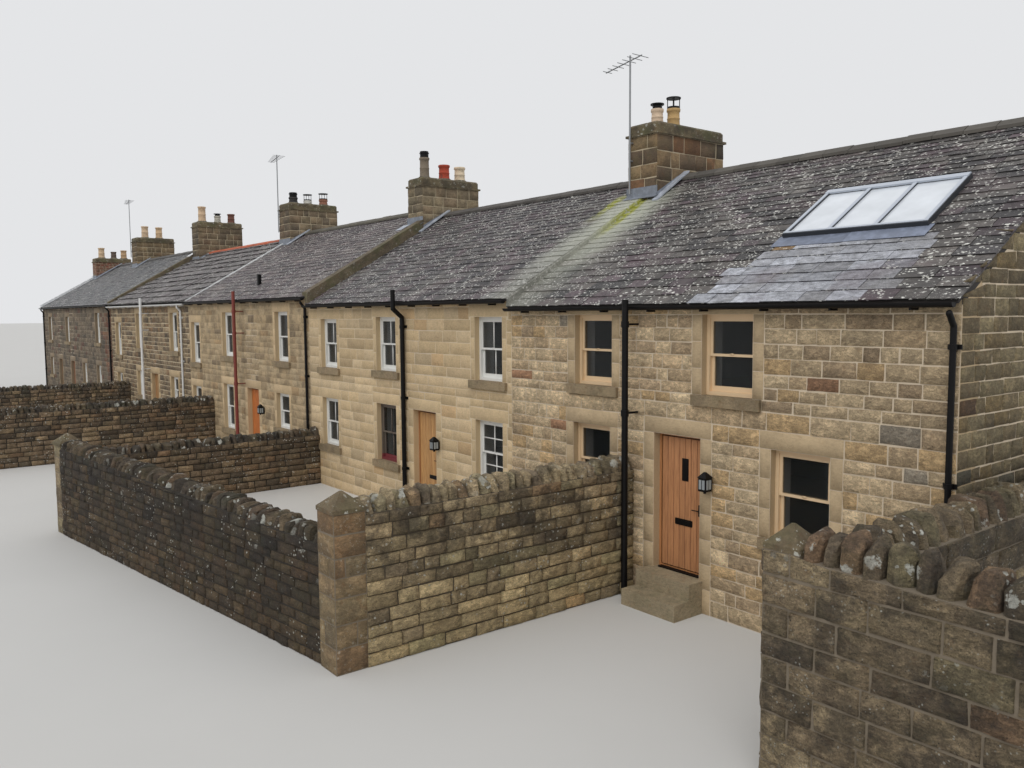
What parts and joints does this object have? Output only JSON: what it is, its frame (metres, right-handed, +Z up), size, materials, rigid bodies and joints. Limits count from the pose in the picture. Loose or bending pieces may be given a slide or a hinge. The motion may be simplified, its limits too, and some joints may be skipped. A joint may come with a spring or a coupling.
{
  "type": "terraced house row, 1:2 scale model",
  "caption": "Row of stone terraced cottages under slate roofs with chimneys, sash windows, hinged front doors and garden walls, at half scale.",
  "frame": {"origin": "foot of the row at the right front corner of the right-hand house, seen from the gardens", "axes": "+X along the front to the right, +Y from the front to the back, +Z up"},
  "size_m": [27.0125, 7.7775, 5.25],
  "materials": {
    "aluminium": "weathered",
    "black_metal": "satin",
    "chimney_stone": "rough",
    "clay": "rough",
    "cowl_metal": "satin",
    "cream_paint": "painted satin",
    "dark_frame": "satin",
    "dressed_stone": "rough",
    "floorboard": "matt",
    "garden_stone": "rough",
    "glass": "clear",
    "inner_wall": "matt",
    "oak": "oiled",
    "red_metal": "satin",
    "ridge": "rough",
    "slate": "satin",
    "stone_a": "rough",
    "stone_b": "rough",
    "stone_c": "rough",
    "stone_d": "rough",
    "stone_e": "rough",
    "white_paint": "painted satin",
    "white_plastic": "gloss"
  },
  "bodies": {
    "houses": {"aerials": "aluminium", "back_walls": "stone_b", "back_window_frames": "white_paint", "back_window_glass": "glass", "chimney_caps": "chimney_stone", "chimney_cowls": "cowl_metal", "chimney_pots": "clay", "chimney_stacks": "chimney_stone", "door_frames": "oak", "doorsteps": "dressed_stone", "downpipe_red": "red_metal", "downpipe_white": "white_plastic", "downpipes_black": "black_metal", "front_wall_a": "stone_a", "front_wall_b": "stone_b", "front_wall_c": "stone_c", "front_wall_d": "stone_d", "front_wall_e": "stone_e", "gable_wall_left": "stone_e", "gable_wall_right": "stone_a", "garden_copes": "garden_stone", "garden_piers": "garden_stone", "garden_wall_ab": "garden_stone", "garden_walls_far": "garden_stone", "ground_floors": "inner_wall", "gutter_white": "white_plastic", "gutters": "black_metal", "lanterns": "black_metal", "lower_sashes": "white_paint", "lower_sashes_a": "cream_paint", "near_wall": "garden_stone", "party_walls": "inner_wall", "path_wall": "garden_stone", "pier_caps": "garden_stone", "ridge_tiles": "ridge", "roof_back": "slate", "roof_copings": "dressed_stone", "roof_front": "slate", "rooflight_frame": "dark_frame", "rooflight_glass": "glass", "side_wall": "garden_stone", "upper_floors": "floorboard", "upper_sashes": "white_paint", "upper_sashes_a": "cream_paint", "vent_pipe": "black_metal", "walls_over_doors": "stone_a", "window_frames": "white_paint", "window_frames_a": "cream_paint", "window_glass": "glass", "window_sills": "dressed_stone"},
    "door_leaf_a": {"door_a": "oak"},
    "door_leaf_b": {"door_b": "oak"},
    "door_leaf_c": {"door_c": "oak"},
    "door_leaf_d": {"door_d": "oak"},
    "door_leaf_e1": {"door_e1": "oak"},
    "door_leaf_e2": {"door_e2": "oak"}
  },
  "joints": [
    {"name": "door_a_hinge", "type": "hinge", "parent": "houses", "child": "door_leaf_a", "pos_m": [-2.1435, 0.103, 0.7435], "axis": [0, 0, 1], "range_deg": [0, 90]},
    {"name": "door_b_hinge", "type": "hinge", "parent": "houses", "child": "door_leaf_b", "pos_m": [-5.4985, 0.103, 0.6425], "axis": [0, 0, 1], "range_deg": [0, 90]},
    {"name": "door_c_hinge", "type": "hinge", "parent": "houses", "child": "door_leaf_c", "pos_m": [-10.1085, 0.103, 0.58], "axis": [0, 0, 1], "range_deg": [0, 90]},
    {"name": "door_d_hinge", "type": "hinge", "parent": "houses", "child": "door_leaf_d", "pos_m": [-14.9685, 0.103, 0.5475], "axis": [0, 0, 1], "range_deg": [0, 90]},
    {"name": "door_e1_hinge", "type": "hinge", "parent": "houses", "child": "door_leaf_e1", "pos_m": [-22.1685, 0.103, 0.51], "axis": [0, 0, 1], "range_deg": [0, 90]},
    {"name": "door_e2_hinge", "type": "hinge", "parent": "houses", "child": "door_leaf_e2", "pos_m": [-23.6685, 0.103, 0.51], "axis": [0, 0, 1], "range_deg": [0, 90]}
  ]
}
